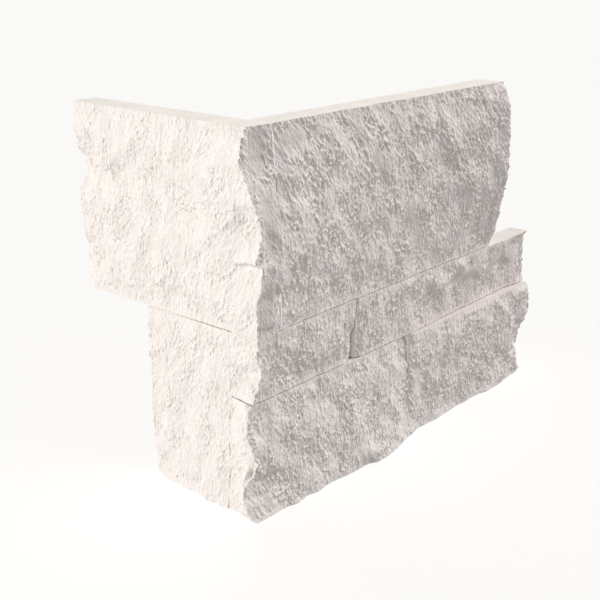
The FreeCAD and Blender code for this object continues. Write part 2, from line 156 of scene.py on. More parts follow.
# Height of the broken lower edge, as (place along the wing, height)
LONG_FOOT = [(-15, 4.2), (3, 4.2), (7, 5.6), (15, 3.9), (20, 5.3), (28, 4.0), (39, 5.3), (53, 5.5),
             (57, 7.6), (64, 7.5), (73, 6.2), (84, 3.6), (96, 0.9), (111, 1.7), (130, 0.5),
             (147, 0.7), (154, 2.4), (176, 0.5), (191, -1.6)]
SHORT_FOOT = [(-13, 2.8), (-8, 1.8), (-4, 1.4), (0, 1.6), (6, 3.0), (9, 4.2), (14, 2.7), (20, 1.1),
              (24, 1.9), (28, 1.4), (37, 1.1), (44, -1.1)]
FOOT_FADE = 4.0           # the lower edge's own line fades out over this height


def eased(share):
    """An S curve from 0 to 1 that is level at both ends: 3 s^2 - 2 s^3."""
    share = np.clip(share, 0.0, 1.0)
    return share * share * (3 - 2 * share)


def between_stations(stations, place):
    """The number of the station before each place, and the eased share of the way on to the next."""
    before = np.clip(np.searchsorted(stations, place, side="right") - 1, 0, len(stations) - 2)
    return before, eased((place - stations[before]) / (stations[before + 1] - stations[before]))


def profile_height(profile, up):
    """Height of one section at each share of the way up, eased from point to point."""
    points = np.array(profile, float)
    heights = points[:, 1]
    before, share = between_stations(points[:, 0], up)
    return heights[before] + (heights[before + 1] - heights[before]) * share


def face_height(sections, along, up):
    """Height of a split face: each section is read at the same level, then eased between sections."""
    heights = np.stack([profile_height(profile, up) for _, profile in sections])
    before, share = between_stations(np.array([place for place, _ in sections]), along)
    first = np.take_along_axis(heights, before[None], 0)[0]
    second = np.take_along_axis(heights, before[None] + 1, 0)[0]
    return first + (second - first) * share


# Texture of the split stone, one sheet for each wing, so that it runs on across the joints
FIELD_START = (-32.0, -10.0)
FIELD_SIZE = (236.0, 172.0)
FIELD_STEP = 0.25
FIELD_SHAPE = tuple(int(length / FIELD_STEP) for length in FIELD_SIZE)
LAST_CELL = 1.001         # keeps a reading inside the sheet's last cell

# Layers of the texture, as (height, width of a streak, its length), where a wing's gain is 1
BROAD_WAVES = [(0.29, 14, 20), (0.23, 7.5, 13)]
COARSE_CRESTS = (0.48, 3.0, 10.0)
FINE_CRESTS = [(0.72, 1.8, 7.0), (0.92, 1.1, 4.0)]
BEND = (2.6, 16, 16)      # how far the sections are bent, along the wing and up
CREST_WIDTH = 0.36        # of a crest, in spreads of the waves that it follows

# Where the grain leans, stands up and is missing. The first two are layers as above, but of shares.
TURN_DRIFT = (0.22, 38, 38)
ROUGH_PATCHES = (0.55, 9, 14)
ROUGH_RANGE = (0.55, 0.65)    # share of the fine crests' height off a rough patch, and what one adds
BARE_SIZE = (6.5, 13)         # width and length of a bare patch
BARE_LEAN = 12
BARE_RANGE = (1.15, 0.9)      # the waves' height where a bare patch begins, and its rise to full
SPOT_RANGE = (2.0, 1.6)       # so a placed spot is bare to 0.6 of its size and gone at 1.25
COARSE_LOSS, FINE_LOSS = 0.6, 0.7     # the shares of the crests that a bare patch takes away

# Bowls left by flakes
SCAR_COUNT = 260
SCAR_RADII = (3.0, 11.0)
SCAR_DEPTHS = (0.2, 0.7)  # of the widest ones
SCAR_STRETCH = 0.9        # a bowl is up to this much longer than it is wide
SCAR_LEANS = (-10, 50)    # degrees
SCAR_GAIN = 0.85


def streaks(rng, across, along, lean):
    """Random waves of one size, with unit spread.

    White noise is multiplied, in wave numbers p across and q along the streak, by k exp(-k^2 / 2)
    with k^2 = (p across / pi)^2 + (q along / pi)^2. across and along are the width and length of a
    streak and lean is its turn from upright in degrees, to the left at the top.
    """
    noise = np.fft.fft2(rng.standard_normal(FIELD_SHAPE))
    wide = 2 * math.pi * np.fft.fftfreq(FIELD_SHAPE[0], FIELD_STEP)[:, None]
    high = 2 * math.pi * np.fft.fftfreq(FIELD_SHAPE[1], FIELD_STEP)[None, :]
    turn = math.radians(lean)
    over = wide * math.cos(turn) + high * math.sin(turn)
    length = high * math.cos(turn) - wide * math.sin(turn)
    wave = np.hypot(over * across / math.pi, length * along / math.pi)
    field = np.fft.ifft2(noise * wave * np.exp(-wave * wave / 2)).real
    return field / field.std()


def leaning(rng, across, along, leans, turn_share):
    """Streaks that lean one way in some places and the other way in others."""
    first = streaks(rng, across, along, leans[0])
    second = streaks(rng, across, along, leans[1])
    return first * np.sqrt(1 - turn_share) + second * np.sqrt(turn_share)


def ridges(rng, across, along, leans, turn_share):
    """Sharp crests where the leaning waves n cross zero, hollows between: exp(-|n| / CREST_WIDTH)."""
    crest = np.exp(-np.abs(leaning(rng, across, along, leans, turn_share)) / CREST_WIDTH)
    return crest - crest.mean()


def scars(rng):
    """Shallow bowls left by flakes: each is depth (1 - r^2) inside its ellipse, the deepest one wins."""
    places = [FIELD_START[side] + FIELD_STEP * np.arange(FIELD_SHAPE[side]) for side in (0, 1)]
    deepest = np.zeros(FIELD_SHAPE)
    for _ in range(SCAR_COUNT):
        middle = [FIELD_START[side] + FIELD_SIZE[side] * rng.random() for side in (0, 1)]
        radius = SCAR_RADII[0] + (SCAR_RADII[1] - SCAR_RADII[0]) * rng.random() ** 2
        stretch = 1.0 + SCAR_STRETCH * rng.random()
        turn = math.radians(rng.uniform(*SCAR_LEANS))
        depth = rng.uniform(*SCAR_DEPTHS) * radius / SCAR_RADII[1]
        side = places[0][:, None] - middle[0]
        rise = places[1][None, :] - middle[1]
        over = (side * math.cos(turn) + rise * math.sin(turn)) / radius
        length = (rise * math.cos(turn) - side * math.sin(turn)) / (radius * stretch)
        deepest = np.maximum(deepest, depth * (1 - over ** 2 - length ** 2))
    return deepest


def wing_texture(seed, leans, turns, gain, bareness, spots):
    """The fields of one wing: broad waves, grain, the bend of the sections and the bare patches.

    leans are the two ways that the streaks lean, and turns gives, at some levels, how far they have
    turned from the first to the second. gain scales every height, and bareness the bare patches.
    spots are bare patches seen on the real piece, as (place, level, half width, half height, lean).
    """
    rng = np.random.default_rng(seed)
    place, level = [FIELD_START[side] + FIELD_STEP * np.arange(FIELD_SHAPE[side]) for side in (0, 1)]
    turn_line = np.array(turns, float)
    turn_share = np.interp(level, turn_line[:, 0], turn_line[:, 1])[None, :]
    height, across, along = TURN_DRIFT
    turn_share = np.clip(turn_share + height * streaks(rng, across, along, 0), 0, 1)
    height, across, along = ROUGH_PATCHES
    patches = eased(0.5 + height * streaks(rng, across, along, leans[0]))
    bare = bareness * eased((streaks(rng, *BARE_SIZE, BARE_LEAN) - BARE_RANGE[0]) / BARE_RANGE[1])
    for middle, middle_level, half_width, half_height, lean in spots:
        turn = math.radians(lean)
        side, rise = place[:, None] - middle, level[None, :] - middle_level
        over = (side * math.cos(turn) + rise * math.sin(turn)) / half_width
        length = (rise * math.cos(turn) - side * math.sin(turn)) / half_height
        bare = np.maximum(bare, eased(SPOT_RANGE[0] - SPOT_RANGE[1] * np.hypot(over, length)))
    rough = gain * (ROUGH_RANGE[0] + ROUGH_RANGE[1] * patches) * (1 - FINE_LOSS * bare)
    broad = np.zeros(FIELD_SHAPE)
    for height, across, along in BROAD_WAVES:
        broad += height * gain * leaning(rng, across, along, leans, turn_share)
    broad -= SCAR_GAIN * gain * scars(rng)
    height, across, along = COARSE_CRESTS
    grain = height * gain * (1 - COARSE_LOSS * bare) * ridges(rng, across, along, leans, turn_share)
    for height, across, along in FINE_CRESTS:
        grain += height * rough * ridges(rng, across, along, leans, turn_share)
    height, across, along = BEND
    return {
        "broad": broad,
        "grain": grain,
        "bare": bare,
        "bend_along": height * streaks(rng, across, along, 0),
        "bend_up": height * streaks(rng, across, along, 0),
    }


def read_field(field, place, level):
    """The field's value at each place and level, straight between its four nearest points."""
    wide = np.clip((place - FIELD_START[0]) / FIELD_STEP, 0, FIELD_SHAPE[0] - LAST_CELL)
    high = np.clip((level - FIELD_START[1]) / FIELD_STEP, 0, FIELD_SHAPE[1] - LAST_CELL)
    column, row = wide.astype(int), high.astype(int)
    right, over = wide - column, high - row
    lower = field[column, row] * (1 - right) + field[column + 1, row] * right
    upper = field[column, row + 1] * (1 - right) + field[column + 1, row + 1] * right
    return lower * (1 - over) + upper * over


LONG_WING = wing_texture(
    SEED, leans=(30.0, -16.0), gain=0.80, bareness=0.6,
    turns=[(0, 0.5), (30, 0.6), (48, 0.95), (85, 0.95), (115, 0.25), (152, 0.0)],
    spots=[(-8, 143, 5, 9, 0), (-6, 116, 5, 13, 0), (-8, 88, 5, 12, 0), (87, 97, 4.5, 13, 25),
           (10, 146, 7, 4, 0), (62, 128, 4, 9, 30), (140, 60, 5, 9, 10), (176, 66, 5, 8, 10)])
SHORT_WING = wing_texture(
    SEED + 1, leans=(36.0, 6.0), gain=0.68, bareness=0.2,
    turns=[(0, 0.8), (75, 0.7), (95, 0.4), (152, 0.4)], spots=[])


BED_FADE = 2.0            # the split surface calms down this near to a sawn bed
BED_CALM = 0.6            # by this share
RAGGED_CALM = 0.1         # the share at the top of the piece, where the split edge stays ragged
EDGE_HIGHLIGHT_WIDTH = 0.9        # a painted highlight on the edge at the corner joint fades over this width
BEND_RISE = 32            # how fast the bend of the sections grows from the edges of a face


def split_face(sections, wing, reach, levels, foot=None, painted_edge_highlight=None, marks=(), top_calm=BED_CALM):
    """A function of place and level that gives a face's height over the sawn edge, and its tone.

    The sections run over reach and levels. They are bent a little by smooth waves, so that they don't
    show as bands. Broad waves and grain are added, less of both near a bed: the share that goes is
    BED_CALM at the foot and top_calm at the top. foot is the line of the broken lower edge.
    painted_edge_highlight gives, at some levels, how strong a painted highlight is on the edge at the
    corner joint, where that edge would catch the light. marks are scallops with a sharp rim, as (place,
    level, half width, half height, depth): depth (1 - r^2) is taken off. The tone has two parts, the
    grain's own height with that painted highlight added, and how bare the stone is.
    """
    def height_at(place, level):
        along = (place - reach[0]) / (reach[1] - reach[0])
        up = (level - levels[0]) / (levels[1] - levels[0])
        inside = np.clip(along * (1 - along), 0, None) * np.clip(up * (1 - up), 0, None)
        bend = np.clip(BEND_RISE * inside, 0, 1)
        bent_place = place + bend * read_field(wing["bend_along"], place, level)
        bent_level = level + bend * read_field(wing["bend_up"], place, level)
        along = (bent_place - reach[0]) / (reach[1] - reach[0])
        up = (bent_level - levels[0]) / (levels[1] - levels[0])
        height = face_height(sections, along, up)
        if foot is not None:
            line = np.array(foot, float)
            edge = np.interp(place, line[:, 0], line[:, 1])
            at_foot = face_height(sections, along, np.zeros_like(up))
            height = height + (edge - at_foot) * np.exp(-((level / FOOT_FADE) ** 2))
        near_foot, near_top = (level - levels[0]) / BED_FADE, (levels[1] - level) / BED_FADE
        loose = 1 - BED_CALM * np.exp(-near_foot ** 2) - top_calm * np.exp(-near_top ** 2)
        grain = loose * read_field(wing["grain"], place, level)
        height = height + loose * read_field(wing["broad"], place, level) + grain
        # A painted highlight along the edge at the corner joint, added to the tone where the edge would
        # catch the light
        if painted_edge_highlight is not None:
            line = np.array(painted_edge_highlight, float)
            edge_highlight_share = np.interp(level, line[:, 0], line[:, 1])
            grain = grain + edge_highlight_share * np.exp(-((place / EDGE_HIGHLIGHT_WIDTH) ** 2))
        for at, mark_level, half_width, half_height, depth in marks:
            away = ((place - at) / half_width) ** 2 + ((level - mark_level) / half_height) ** 2
            height = height - depth * np.clip(1 - away, 0, None)
        return height, np.stack([grain, read_field(wing["bare"], place, level)])
    return height_at


def node_box(node):
    """Lowest and highest corner of a node, in millimetres."""
    low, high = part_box(node)
    return np.array(low) / METRE, np.array(high) / METRE


def spread(start, end, step):
    """Evenly spaced shares from 0 to 1, about a step apart over that length."""
    return np.linspace(0.0, 1.0, max(2, math.ceil(abs(end - start) / step)) + 1)


CORNER_FADE = 9.0         # points of a face crowd or spread over this length to meet at the corner
CORNER_PASSES = 3
CAP_SHARES = (0.03, 0.08, 0.18, 0.45, 0.85)   # how far in the rings of a top or bottom lie
WORN_SHARE = 0.85         # how far in a worn top is rough and painted darker
LEDGE_SHADE_TONE = -0.3          # its relief tone, that of a hollow: painted shade on the ledge under the course above
SHARP_ANGLE = 48.0        # edges that turn by more degrees than this are shaded sharp


def stone_mesh(name, low, high, long_face, short_face, worn_and_shaded_top):
    """A closed block whose upright walls run round it on a grid, level by level.

    The walls, seen from above and against the clock, are: a, the -Y wall from the corner end, b, the
    +X wall, c, the +Y wall, and d, the -X wall. long_face and short_face give the height of a and d,
    or are None where that wall is sawn. Top and bottom close by rings that shrink to the middle line,
    and a worn top takes the split stone's rough material next to its split walls, in a darker tone:
    worn stone, with painted shade where it lies under the course above.
    """
    rows = spread(low[2], high[2], LEVEL_STEP)
    level = low[2] + (high[2] - low[2]) * rows[None, :]

    def corner_line():
        """Where the two outer walls meet: each one's height is read on the other, a few times over."""
        x = np.full_like(level, low[0] if short_face is None else SAWN_EDGE)
        y = np.full_like(level, low[1] if long_face is None else SAWN_EDGE)
        for _ in range(CORNER_PASSES):
            if short_face is not None:
                x = SAWN_EDGE - short_face(y, level)[0]
            if long_face is not None:
                y = SAWN_EDGE - long_face(x, level)[0]
        return x, y

    corner_x, corner_y = corner_line()

    def outer_wall(face, start, end, at_corner, flat, step):
        """Places along a wall from the corner line to its end, and the wall's depth there."""
        shares = spread(start, end, step)[:, None]
        place = start + (end - start) * shares
        place = place + (at_corner - start) * np.exp(-(place - start) / CORNER_FADE) * (1 - shares)
        grid_level = np.broadcast_to(level, place.shape)
        if face is None:
            return place, np.full_like(place, flat), np.zeros((2,) + place.shape)
        height, tone = face(place, grid_level)
        return place, SAWN_EDGE - height, tone

    start_x = low[0] if short_face is None else SAWN_EDGE
    start_y = low[1] if long_face is None else SAWN_EDGE
    long_step = SAWN_STEP if long_face is None else GRAIN_STEP
    short_step = SAWN_STEP if short_face is None else GRAIN_STEP
    ax, ay, a_tone = outer_wall(long_face, start_x, high[0], corner_x, low[1], long_step)
    dy, dx, d_tone = outer_wall(short_face, start_y, high[1], corner_y, low[0], short_step)
    ax[0], ay[0] = corner_x[0], corner_y[0]

    b_shares = spread(ay[-1].min(), high[1], SAWN_STEP)[:, None]
    by = ay[-1][None, :] + (high[1] - ay[-1][None, :]) * b_shares
    bx = np.full_like(by, high[0])
    c_shares = spread(high[0], dx[-1].min(), SAWN_STEP)[:, None]
    cx = high[0] + (dx[-1][None, :] - high[0]) * c_shares
    cy = np.full_like(cx, high[1])

    walls = [(ax, ay, a_tone, long_face is not None), (bx, by, np.zeros((2,) + bx.shape), False),
             (cx, cy, np.zeros((2,) + cx.shape), False),
             (dx[::-1], dy[::-1], d_tone[:, ::-1], short_face is not None)]
    x = np.concatenate([wall[0][:-1] for wall in walls])
    y = np.concatenate([wall[1][:-1] for wall in walls])
    tone = np.concatenate([wall[2][:, :-1] for wall in walls], axis=1)
    split = np.concatenate([np.full(len(wall[0]) - 1, wall[3]) for wall in walls])
    around, tall = x.shape
    z = np.broadcast_to(level, x.shape)
    points = [np.stack([x, y, z], axis=-1).transpose(1, 0, 2).reshape(-1, 3)]
    tones = [tone.transpose(0, 2, 1).reshape(2, -1)]

    column = np.arange(around)
    following = (column + 1) % around

    def band(first, second):
        """Quads between two rings that start at these point numbers, the second one further round."""
        return np.stack([first + column, first + following, second + following, second + column], -1)

    quads = [band(row * around, (row + 1) * around) for row in range(tall - 1)]
    quad_split = [split] * (tall - 1)

    size = high - low
    longest = 0 if size[0] > size[1] else 1
    other = 1 - longest
    sawn_low = np.maximum(low, SAWN_EDGE)
    middle = (high[other] + sawn_low[other]) / 2
    half = (high[other] - sawn_low[other]) / 2
    centre_low = sawn_low[longest] + half
    centre_high = high[longest] - half
    total = tall * around
    caps = []
    for ring_row, upwards in ((tall - 1, True), (0, False)):
        ring = np.stack([x[:, ring_row], y[:, ring_row], z[:, ring_row]], axis=-1)
        core = ring.copy()
        core[:, other] = middle
        core[:, longest] = np.clip(ring[:, longest], centre_low, centre_high)
        previous = ring_row * around
        for share in CAP_SHARES:
            points.append(ring + (core - ring) * share)
            # A worn top takes a hollow's tone: painted shade on the ledge under the course above
            tones.append(np.full((2, around), LEDGE_SHADE_TONE if worn_and_shaded_top and upwards else 0.0))
            quads.append(band(previous, total) if upwards else band(total, previous))
            quad_split.append(split & (worn_and_shaded_top and upwards and share <= WORN_SHARE))
            previous = total
            total += around
        last = previous + column
        caps.append(last if upwards else last[::-1])

    mesh = bpy.data.meshes.new(name)
    vertices = np.concatenate(points) * METRE
    corners = np.concatenate(quads)
    loops = np.concatenate([corners.reshape(-1)] + caps)
    counts = np.concatenate([np.full(len(corners), 4), [len(cap) for cap in caps]])
    starts = np.concatenate([[0], np.cumsum(counts)[:-1]])
    mesh.vertices.add(len(vertices))
    mesh.vertices.foreach_set("co", vertices.reshape(-1))
    mesh.loops.add(len(loops))
    mesh.loops.foreach_set("vertex_index", loops.astype(np.int32))
    mesh.polygons.add(len(counts))
    mesh.polygons.foreach_set("loop_start", starts.astype(np.int32))
    mesh.update(calc_edges=True)
    sawn = np.concatenate([~np.concatenate(quad_split), [True, True]])
    mesh.polygons.foreach_set("material_index", sawn.astype(np.int32))
    mesh.polygons.foreach_set("use_smooth", np.ones(len(counts), bool))
    for tone_name, values in zip(("relief", "bare"), np.concatenate(tones, axis=1).astype(np.float32)):
        mesh.attributes.new(tone_name, "FLOAT", "POINT").data.foreach_set("value", values)
    mesh.validate()
    mesh.set_sharp_from_angle(angle=math.radians(SHARP_ANGLE))
    return mesh


# Materials

def linear(text):
    """An sRGB hex colour as linear red, green, blue and 1."""
    channels = [int(text[start:start + 2], 16) / 255 for start in (1, 3, 5)]
    return [c / 12.92 if c <= 0.04045 else ((c + 0.055) / 1.055) ** 2.4 for c in channels] + [1.0]


def add(tree, kind, settings=None, **inputs):
    """Adds a node with its settings, and sets or links its sockets by name, or by number as i0, i1."""
    node = tree.nodes.new(kind)
    for name, value in (settings or {}).items():
        setattr(node, name, value)
    for name, value in inputs.items():
        numbered = name[0] == "i" and name[1:].isdigit()
        socket = node.inputs[int(name[1:]) if numbered else name]
        if isinstance(value, bpy.types.NodeSocket):
            tree.links.new(value, socket)
        else:
            socket.default_value = value
    return node


def per_metre(size):
    """The scale of a noise whose patches are this many millimetres across."""
    return 1.0 / (size * METRE)


def new_material(name, roughness, specular):
    """A material whose tree holds only a Principled shader and its output."""
    material = bpy.data.materials.new(name)
    material.use_nodes = True
    tree = material.node_tree
    tree.nodes.clear()
    shader = add(tree, "ShaderNodeBsdfPrincipled")
    shader.inputs["Roughness"].default_value = roughness
    shader.inputs["Specular IOR Level"].default_value = specular
    add(tree, "ShaderNodeOutputMaterial", Surface=shader.outputs["BSDF"])
    return material, tree, shader


def painted(tree, under, over, value, low, high, most=1.0):
    """Lays one colour over another as a value rises from low to high, up to the share most."""
    share = add(tree, "ShaderNodeMapRange", i0=value, i1=low, i2=high, i4=most).outputs[0]
    return add(tree, "ShaderNodeMix", {"data_type": "RGBA"}, i0=share, i6=under, i7=over).outputs[2]


# Turns the finest grain's lean on both wings, up and towards the corner, to upright
GRAIN_TURN = (math.radians(-20), math.radians(20), 0.0)


def split_limestone():
    """Freshly split fine-grained limestone: chalky, nearly without gloss, with faint mauve and green
    clouds. It is paler on the grain's crests and greyer in its hollows, partly the crushed crests' own
    colour and partly a painted highlight and painted shade that follow the relief; bare, denser
    patches are greyer too."""
    material, tree, shader = new_material("split_limestone", 0.92, 0.25)
    where = add(tree, "ShaderNodeTexCoord").outputs["Object"]
    clouds = add(tree, "ShaderNodeTexNoise",
                 Vector=where, Scale=per_metre(11), Detail=3.0, Roughness=0.55)
    colour = painted(tree, linear("#E4DBD7"), linear("#ECE2DF"), clouds.outputs[0], 0.36, 0.64)
    tint = add(tree, "ShaderNodeTexNoise", Vector=where, Scale=per_metre(7), Detail=2.0)
    colour = painted(tree, colour, linear("#DFDED3"), tint.outputs[0], 0.55, 0.75, 0.5)
    # Paler up the relief towards the crests: partly the crushed crests' own colour, partly a painted
    # highlight on the crests and painted shade in the hollows
    relief = add(tree, "ShaderNodeAttribute", {"attribute_name": "relief"}).outputs["Fac"]
    colour = painted(tree, colour, linear("#F6EFEB"), relief, -0.35, 0.45)
    bare = add(tree, "ShaderNodeAttribute", {"attribute_name": "bare"}).outputs["Fac"]
    colour = painted(tree, colour, linear("#CFCAC3"), bare, 0.0, 1.0, 0.65)
    pits = add(tree, "ShaderNodeTexNoise", Vector=where, Scale=per_metre(1.0), Detail=2.0, Roughness=0.6)
    colour = painted(tree, colour, linear("#BDB3AA"), pits.outputs[0], 0.62, 0.74, 0.12)
    tree.links.new(colour, shader.inputs["Base Color"])
    lean = add(tree, "ShaderNodeMapping", Vector=where, Rotation=GRAIN_TURN, Scale=(1.0, 1.0, 0.45))
    fine = add(tree, "ShaderNodeTexNoise", Vector=lean.outputs[0], Scale=per_metre(0.9), Detail=0.0)
    crest = add(tree, "ShaderNodeMath", {"operation": "PINGPONG"}, i0=fine.outputs[0], i1=0.5)
    bump = add(tree, "ShaderNodeBump", Strength=1.0, Distance=0.0005, Height=crest.outputs[0])
    tree.links.new(bump.outputs["Normal"], shader.inputs["Normal"])
    return material


def sawn_limestone():
    """Limestone off a wet diamond saw: smooth and paler than a split face, with a film of dust, faint
    blade lines 5 mm apart and small open pores."""
    material, tree, shader = new_material("sawn_limestone", 0.8, 0.3)
    where = add(tree, "ShaderNodeTexCoord").outputs["Object"]
    clouds = add(tree, "ShaderNodeTexNoise", Vector=where, Scale=per_metre(14), Detail=3.0)
    colour = painted(tree, linear("#EFEAE2"), linear("#F6F0E9"), clouds.outputs[0], 0.38, 0.62)
    pores = add(tree, "ShaderNodeTexNoise",
                Vector=where, Scale=per_metre(0.8), Detail=2.0, Roughness=0.6)
    colour = painted(tree, colour, linear("#CFC8BD"), pores.outputs[0], 0.66, 0.74, 0.4)
    tree.links.new(colour, shader.inputs["Base Color"])
    lines = add(tree, "ShaderNodeTexWave", {"wave_type": "BANDS", "bands_direction": "DIAGONAL"},
                Vector=where, Scale=per_metre(8), Distortion=1.5, Detail=2.0)
    bump = add(tree, "ShaderNodeBump", Strength=0.35, Distance=0.00006, Height=lines.outputs["Fac"])
    dust = add(tree, "ShaderNodeTexNoise", Vector=where, Scale=per_metre(0.5), Detail=2.0, Roughness=0.6)
    grain = add(tree, "ShaderNodeBump", Strength=0.4, Distance=0.00006, Height=dust.outputs[0],
                Normal=bump.outputs["Normal"])
    tree.links.new(grain.outputs["Normal"], shader.inputs["Normal"])
    return material


def filled_resin(name, low_colour, high_colour):
    """Epoxy filled with the stone's own dust: dull, with fine grit. Pigmented it has the stone's own
    colour; the dark grey one paints shade into open joints, and the near-white one paints a highlight
    line along the corner joint, where its edge would catch the light."""
    material, tree, shader = new_material(name, 0.7, 0.4)
    where = add(tree, "ShaderNodeTexCoord").outputs["Object"]
    grit = add(tree, "ShaderNodeTexNoise", Vector=where, Scale=per_metre(0.9), Detail=3.0, Roughness=0.6)
    colour = painted(tree, linear(low_colour), linear(high_colour), grit.outputs[0], 0.35, 0.65)
    tree.links.new(colour, shader.inputs["Base Color"])
    bump = add(tree, "ShaderNodeBump", Strength=0.5, Distance=0.0001, Height=grit.outputs[0])
    tree.links.new(bump.outputs["Normal"], shader.inputs["Normal"])
    return material


SPLIT = split_limestone()
SAWN = sawn_limestone()
RESIN = filled_resin("pigmented_resin", "#E2DAD5", "#EAE3DF")
# A dark grey resin: painted shade in open joints, where the joint lies back in shadow
SHADE_RESIN = filled_resin("resin_painted_shade", "#999C9F", "#A7AAAD")
# A near-white resin: a painted highlight line where the corner joint's edge would catch the light
HIGHLIGHT_RESIN = filled_resin("resin_painted_highlight", "#FDFBF8", "#FFFFFF")


def show(name, mesh, materials, node):
    """Puts a mesh in the scene in place of its node, with its materials."""
    piece = bpy.data.objects.new(name, mesh)
    bpy.context.scene.collection.objects.link(piece)
    for material in materials:
        mesh.materials.append(material)
    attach(piece, "root")
    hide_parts(node)


# Stones: which split faces each one has, and where those faces start and end
upper_low, upper_high = node_box("long_wing_upper_stone")
middle_low, middle_high = node_box("middle_course_end_stone")
bottom_low, bottom_high = node_box("bottom_course_end_stone")
upper_short_high = node_box("short_wing_upper_stone")[1]
lower_short_high = node_box("short_wing_lower_stone")[1]
middle_perpend = (node_box("middle_course_corner_stone")[1][0] + middle_low[0]) / 2
bottom_perpend = (node_box("bottom_course_corner_stone")[1][0] + bottom_low[0]) / 2
upper_levels = (upper_low[2], upper_high[2])
middle_levels = (middle_low[2], middle_high[2])
bottom_levels = (bottom_low[2], bottom_high[2])
lower_short_levels = (bottom_low[2], middle_high[2])

upper_long = split_face(
    UPPER_LONG_FACE, LONG_WING, (SAWN_EDGE, upper_high[0]), upper_levels, top_calm=RAGGED_CALM)
# The edge of the corner stone's end has a painted highlight in some stretches of its joint, where it
# would catch the light
upper_end = split_face(
    UPPER_LONG_FACE, LONG_WING, (SAWN_EDGE, upper_high[0]), upper_levels,
    painted_edge_highlight=[(74, 1), (84, 1), (86, 0.2), (89, 1), (101, 1), (105, 0), (134, 0), (138, 1), (152, 1)],
    marks=UPPER_END_MARKS, top_calm=RAGGED_CALM)
upper_short = split_face(
    UPPER_SHORT_FACE, SHORT_WING, (SAWN_EDGE, upper_short_high[1]), upper_levels, top_calm=RAGGED_CALM)
lower_short = split_face(
    LOWER_SHORT_FACE, SHORT_WING, (0.0, lower_short_high[1]), lower_short_levels, SHORT_FOOT,
    marks=SHORT_FOOT_MARKS)
middle_corner_long = split_face(
    MIDDLE_CORNER_LONG_FACE, LONG_WING, (SAWN_EDGE, middle_perpend), middle_levels)
middle_corner_end = split_face(MIDDLE_CORNER_END_FACE, SHORT_WING, (SAWN_EDGE, 0.0), middle_levels)
middle_end_long = split_face(
    MIDDLE_END_LONG_FACE, LONG_WING, (middle_perpend, middle_high[0]), middle_levels)
bottom_corner_long = split_face(
    BOTTOM_CORNER_LONG_FACE, LONG_WING, (SAWN_EDGE, bottom_perpend), bottom_levels, LONG_FOOT)
bottom_corner_end = split_face(
    BOTTOM_CORNER_END_FACE, SHORT_WING, (SAWN_EDGE, 0.0), bottom_levels, SHORT_FOOT)
bottom_end_long = split_face(
    BOTTOM_END_LONG_FACE, LONG_WING, (bottom_perpend, bottom_high[0]), bottom_levels, LONG_FOOT)

STONES = {
    "short_wing_upper_stone": (upper_end, upper_short),
    "short_wing_lower_stone": (None, lower_short),
    "long_wing_upper_stone": (upper_long, None),
    "middle_course_corner_stone": (middle_corner_long, middle_corner_end),
    "middle_course_end_stone": (middle_end_long, None),
    "bottom_course_corner_stone": (bottom_corner_long, bottom_corner_end),
    "bottom_course_end_stone": (bottom_end_long, None),
}

# The bottom course's top is worn where it shows as a ledge under the middle course, and painted darker
# there as shade under that course
for node, (long_face, short_face) in STONES.items():
    low, high = node_box(node)
    mesh = stone_mesh(node, low, high, long_face, short_face, worn_and_shaded_top=node.startswith("bottom"))
    show(node + "_split", mesh, (SPLIT, SAWN), node)


# Joints: resin struck off flush or squeezed out in some stretches, open to a shadow line in others
CLOSED = 0.02             # how far flush resin lies behind its two edges
PROUD = -0.15             # squeezed out past them
OPEN = 2.6                # how far back it lies where the joint is open
BACK = -1.5               # the resin stops short of the wall side
SKIN = 0.01               # keeps the resin's sides off the sawn faces
BOND_STEP = 0.5           # spacing of the points along a joint
END_MARGIN = 0.4          # the resin stops this far from the ends of the stones
UPRIGHT_REACH = 1.1       # so an upright joint's resin runs on this far past its CAD node, at both ends
LOWER_CORNER = 0.25       # place on the short wing of the joint behind the two lower corner stones


def bond_mesh(name, outer, inner, thickness):
    """A thin slab between an outer and an inner line of points, thickness being the way across it."""
    ring = np.stack([outer, inner, inner + thickness, outer + thickness], axis=1)
    count = len(outer)
    vertices = ring.reshape(-1, 3) * METRE
    station = 4 * np.arange(count - 1)[:, None]
    side = np.arange(4)[None, :]
    beside = (side + 1) % 4
    quads = np.stack([station + side, station + beside, station + 4 + beside, station + 4 + side], -1)
    last = 4 * (count - 1)
    ends = np.array([[3, 2, 1, 0], [last, last + 1, last + 2, last + 3]])
    quads = np.concatenate([quads.reshape(-1, 4), ends])
    corners = vertices[quads]
    volume = np.einsum("ij,ij->", corners[:, 0], np.cross(corners[:, 1], corners[:, 2]))
    volume += np.einsum("ij,ij->", corners[:, 0], np.cross(corners[:, 2], corners[:, 3]))
    if volume < 0:
        quads = quads[:, ::-1]
    mesh = bpy.data.meshes.new(name)
    mesh.from_pydata(vertices.tolist(), [], quads.tolist())
    return mesh


def between(first, second, places, levels):
    """The mean of two faces' heights along a joint, each face read at its own edge."""
    return (first(places[0], levels[0])[0] + second(places[1], levels[1])[0]) / 2


def recess(line, place):
    """How far back the resin lies at each place, from a line of (place, depth)."""
    points = np.array(line, float)
    return np.interp(place, points[:, 0], points[:, 1])


